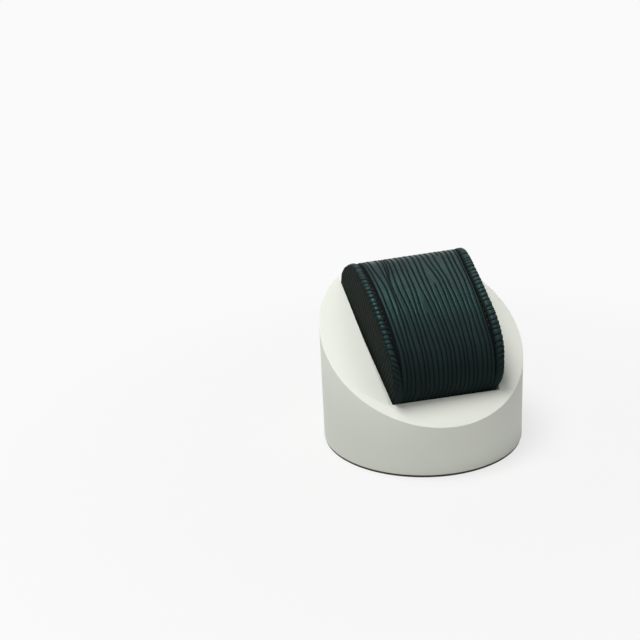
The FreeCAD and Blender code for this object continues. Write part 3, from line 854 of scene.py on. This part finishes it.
# The end panels: ribbed cloth over card, inside the pipings.
panel = {
    "ribAngle": 91.0,     # of the ribs to the slope, degrees
    "ribHeight": 0.18,
    "columnsPerRib": 12,
    "places": (0, 12, 34, 80, 95, 118),         # round the D from the low foot
    "inset": (2.6, 2.9, 3.1, 3.1, 0.35, 0.35),  # inside the piping, but over it at the high end
    "faceLow": 1.0,       # the face stands this far out from the core's end at the low end
    "faceHigh": 3.5,      # and at the high end
    "plainBorder": (0.3, 1.0),  # the ribs fade out towards the turned edge
    "shadeWidth": (0.2, 1.5),   # painted shade: the dark line where the cloth turns in under the piping
    "shadeEnds": (20, 30),  # it fades out here, up the slope from the middle
    "edge": 0.6,          # radius of the turned edge
    "swell": 0.5,         # the middle stands out by
    "swellReach": 12,
    "swellRise": 10,      # full from this height off the slope
    "points": 400,        # round its outline
    "margin": 0.0005,     # share of its length by which the end slices lie inside the outline
    "rows": (0.03, 0.06, 0.1, 0.16, 0.25, 0.37),  # from the edge to the middle, shares of the width
}


def makeRibTree(material):
    sizes = {
        "Pitch": ("Float", ribPitch * mm),
        "Height": ("Float", panel["ribHeight"] * mm),
    }
    tree, size = newTree("ribs", sizes)
    across = addNode(tree, "GeometryNodeInputNamedAttribute", {"Name": "acrossRibs"}, data_type="FLOAT")
    raised = addNode(tree, "GeometryNodeInputNamedAttribute", {"Name": "raised"}, data_type="FLOAT_VECTOR")
    share = addNode(tree, "ShaderNodeMath", {0: across, 1: size["Pitch"]}, operation="DIVIDE")
    turn = addNode(tree, "ShaderNodeMath", {0: share, 1: math.pi}, operation="MULTIPLY")
    wave = addNode(tree, "ShaderNodeMath", {0: turn}, operation="SINE")
    crest = addNode(tree, "ShaderNodeMath", {0: wave}, operation="ABSOLUTE")
    below = addNode(tree, "ShaderNodeMath", {0: crest, 1: 1.0}, operation="SUBTRACT")
    amount = addNode(tree, "ShaderNodeMath", {0: below, 1: size["Height"]}, operation="MULTIPLY")
    offset = addNode(tree, "ShaderNodeVectorMath", {0: raised, "Scale": amount}, operation="SCALE")
    moved = addNode(tree, "GeometryNodeSetPosition", {"Geometry": size["Geometry"], "Offset": offset})
    endTree(tree, moved, material)
    return tree, sizes


# Where a line across the D, at a distance from its middle, enters and leaves it.
def chord(outline, offset, direction):
    normal = Vector((-direction.y, direction.x))
    found = []
    for a, b in zip(outline, outline[1:] + outline[:1]):
        da, db = a.dot(normal) - offset, b.dot(normal) - offset
        if (da < 0) != (db < 0):
            found.append((a + (b - a) * (da / (da - db))).dot(direction))
    return min(found), max(found)


def makePanel(side, name):
    length = dLength(0)
    outline = []
    for i in range(panel["points"] + 1):
        place = length * i / panel["points"]
        spot, away = dPoint(place, 0)
        outline.append(spot - away * between(panel["places"], panel["inset"], place))
    lean = math.radians(panel["ribAngle"])
    direction = Vector((math.cos(lean), math.sin(lean)))
    normal = Vector((-direction.y, direction.x))
    offsets = [p.dot(normal) for p in outline]
    low, high = min(offsets), max(offsets)
    count = round((high - low) / ribPitch * panel["columnsPerRib"])
    edge, margin = panel["edge"], panel["margin"]
    arc = [(edge * (1 - math.cos(a)), -edge * (1 - math.sin(a)))
           for a in (0, math.pi / 6, math.pi / 3, math.pi / 2)]
    out = endFacing(side)
    rings, across, raised, place, border = [], [], [], [], []
    for i in range(count + 1):
        offset = low + (high - low) * (margin + (1 - 2 * margin) * i / count)
        start, stop = chord(outline, offset, direction)
        span = stop - start
        ends = min(1, span / (4 * edge))
        half = [(0, None)] + [(t * ends, z) for t, z in arc]
        half += [(edge * ends + span * s, 0) for s in panel["rows"]]
        profile = [(start + t, z) for t, z in half] + [((start + stop) / 2, 0)]
        profile += [(stop - t, z) for t, z in half[::-1]]
        nearEnd = min(offset - low, high - offset)
        ring = []
        for t, z in profile:
            spot = direction * t + normal * offset
            clear = min(nearEnd, t - start, stop - t)
            onFace = z == 0
            swell = onFace * panel["swell"] * ease(clear, 0, panel["swellReach"])
            swell *= ease(spot.y, 0, panel["swellRise"])
            share = 0.5 + spot.x / cushion["length"]
            face = panel["faceLow"] + (panel["faceHigh"] - panel["faceLow"]) * share
            ring.append(onEnd(side, spot.x, spot.y, 0 if z is None else face + z + swell))
            across.append(offset * mm)
            raised.append(out * (ease(clear, *panel["plainBorder"]) if onFace else 0))
            place.append((offset * mm, t * mm))
            # Painted shade along the panel's border and turned edge, fading out up the slope.
            borderShade = 1 - ease(clear, *panel["shadeWidth"]) if onFace else 1
            border.append(borderShade * (1 - ease(spot.x, *panel["shadeEnds"])))
        rings.append(ring)
    piece = loft(f"ribbedPanel_{name}", rings)
    store(piece, "acrossRibs", across)
    store(piece, "border", border)
    store(piece, "raised", raised)
    layer = piece.data.uv_layers.new(name="cloth")
    for loop in piece.data.loops:
        layer.data[loop.index].uv = place[loop.vertex_index]
    return piece


ribTree, ribSizes = makeRibTree(cloth)
for side, name in ((-1, "left"), (1, "right")):
    piece = runTree(makePanel(side, name), ribTree, ribSizes)
    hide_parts(f"end_panel_{name}")
    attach(piece, "root")
    print("panel made:", len(piece.data.polygons), "faces")


coreSizes = {
    "board": 2.0,         # it lies on a board this thick
    "points": 120,        # round its outline
}


# The foam core inside, cut to the D between the flared ends.
def makeCore():
    inset = cushion["cover"]
    length = dLength(inset)
    outline = []
    for i in range(coreSizes["points"] + 1):
        (y, h), _ = dPoint(length * i / coreSizes["points"], inset)
        outline.append((y, max(h, coreSizes["board"] - cushion["foot"])))
    rings = [[onCushion(side * halfWidth(y), y, h, settled["tuck"]) for y, h in outline] for side in (-1, 1)]
    return loft("foamCore", rings, foam, smooth=False)


core = makeCore()
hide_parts("cushion_core")
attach(core, "root")

for node, material in (("base_pad", felt), ("cushion_board", board)):
    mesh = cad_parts[node].data
    mesh.materials.clear()
    mesh.materials.append(material)
print("inside made")

# Studio: pale floor, white surroundings for the camera, soft lamps from above.
studio = {
    "floor": "#e2e3e1",
    "white": "#fafafa",   # what the camera sees behind the stand
    "fill": 0.25,         # light from all round
    "fadeFrom": 0.05,     # the floor's shadow fades out between these distances, m
    "fadeTo": 0.3,
    "fadeLeast": 0.75,
    "reach": 6.0,         # half the floor's width, m
    "target": (0, 0, 0.05),   # the lamps face this
    "lamps": (            # place and diameter in m, power in W
        ("overhead", (-0.23, 0.06, 1.0), 0.5, 7.8),
        ("front", (-0.5, -0.75, 0.9), 0.6, 1.7),
        ("back", (0.3, 0.4, 0.95), 0.4, 0.7),
    ),
}


# 1 where the camera, a reflection or glass looks straight at it, 0 for light.
def seenRay(tree):
    path = addNode(tree, "ShaderNodeLightPath")
    mirrored = addNode(tree, "ShaderNodeMath", {
        0: path.outputs["Is Camera Ray"], 1: path.outputs["Is Glossy Ray"]}, operation="MAXIMUM")
    return addNode(tree, "ShaderNodeMath", {0: mirrored, 1: path.outputs["Is Transmission Ray"]},
                   operation="MAXIMUM")


def makeFloor():
    material, tree, shader = newMaterial("paleFloor")
    shader.inputs["Base Color"].default_value = linear(studio["floor"])
    setShader(shader, roughness=0.9, specular=0.1)
    place = addNode(tree, "ShaderNodeTexCoord").outputs["Object"]
    away = addNode(tree, "ShaderNodeVectorMath", {0: place}, operation="LENGTH")
    faded = addNode(tree, "ShaderNodeMapRange", {
        "Value": away.outputs["Value"], "From Min": studio["fadeFrom"], "From Max": studio["fadeTo"],
        "To Min": studio["fadeLeast"]}, interpolation_type="SMOOTHSTEP")
    seen = addNode(tree, "ShaderNodeMath", {0: faded, 1: seenRay(tree)}, operation="MULTIPLY")
    glow = addNode(tree, "ShaderNodeEmission", {"Color": linear(studio["white"])})
    mixed = addNode(tree, "ShaderNodeMixShader", {0: seen, 1: shader.outputs["BSDF"], 2: glow})
    tree.links.new(mixed.outputs[0], tree.nodes["Material Output"].inputs["Surface"])
    size = studio["reach"]
    floor = makePiece("floor", [(-size, -size, 0), (size, -size, 0), (size, size, 0), (-size, size, 0)],
                      [(0, 1, 2, 3)], material)


def makeWorld():
    world = bpy.data.worlds.new("whiteRoom")
    scene.world = world
    world.use_nodes = True
    tree = world.node_tree
    tree.nodes.clear()
    strength = addNode(tree, "ShaderNodeMapRange", {"Value": seenRay(tree), "To Min": studio["fill"]})
    background = addNode(tree, "ShaderNodeBackground", {
        "Color": linear(studio["white"]), "Strength": strength})
    addNode(tree, "ShaderNodeOutputWorld", {"Surface": background})


def makeLamp(name, place, size, power):
    lamp = bpy.data.lights.new(name, "AREA")
    lamp.shape = "DISK"
    lamp.size = size
    lamp.energy = power
    holder = addObject(name, lamp)
    holder.location = place
    holder.rotation_euler = (Vector(studio["target"]) - Vector(place)).to_track_quat("-Z", "Y").to_euler()


makeFloor()
makeWorld()
for lamp in studio["lamps"]:
    makeLamp(*lamp)

# The camera, from the photograph's perspective: its view of the base's foot, walls and rim.
view = {
    "place": (-151.6, -451.1, 231.2),   # mm
    "turn": 12.61,        # looks this far right of straight up the slope, degrees
    "pitch": 19.576,      # downwards
    "roll": 2.857,
    "lens": 57.45,
}


def makeCamera():
    camera = bpy.data.cameras.new("camera")
    camera.lens = view["lens"]
    camera.sensor_width = 36.0
    camera.clip_start = 0.01
    holder = addObject("camera", camera)
    holder.matrix_world = (Matrix.Translation(Vector(view["place"]) * mm)
                           @ Matrix.Rotation(-math.radians(view["turn"]), 4, "Z")
                           @ Matrix.Rotation(math.radians(90 - view["pitch"]), 4, "X")
                           @ Matrix.Rotation(math.radians(-view["roll"]), 4, "Z"))
    scene.camera = holder


makeCamera()
scene.view_settings.view_transform = "Standard"
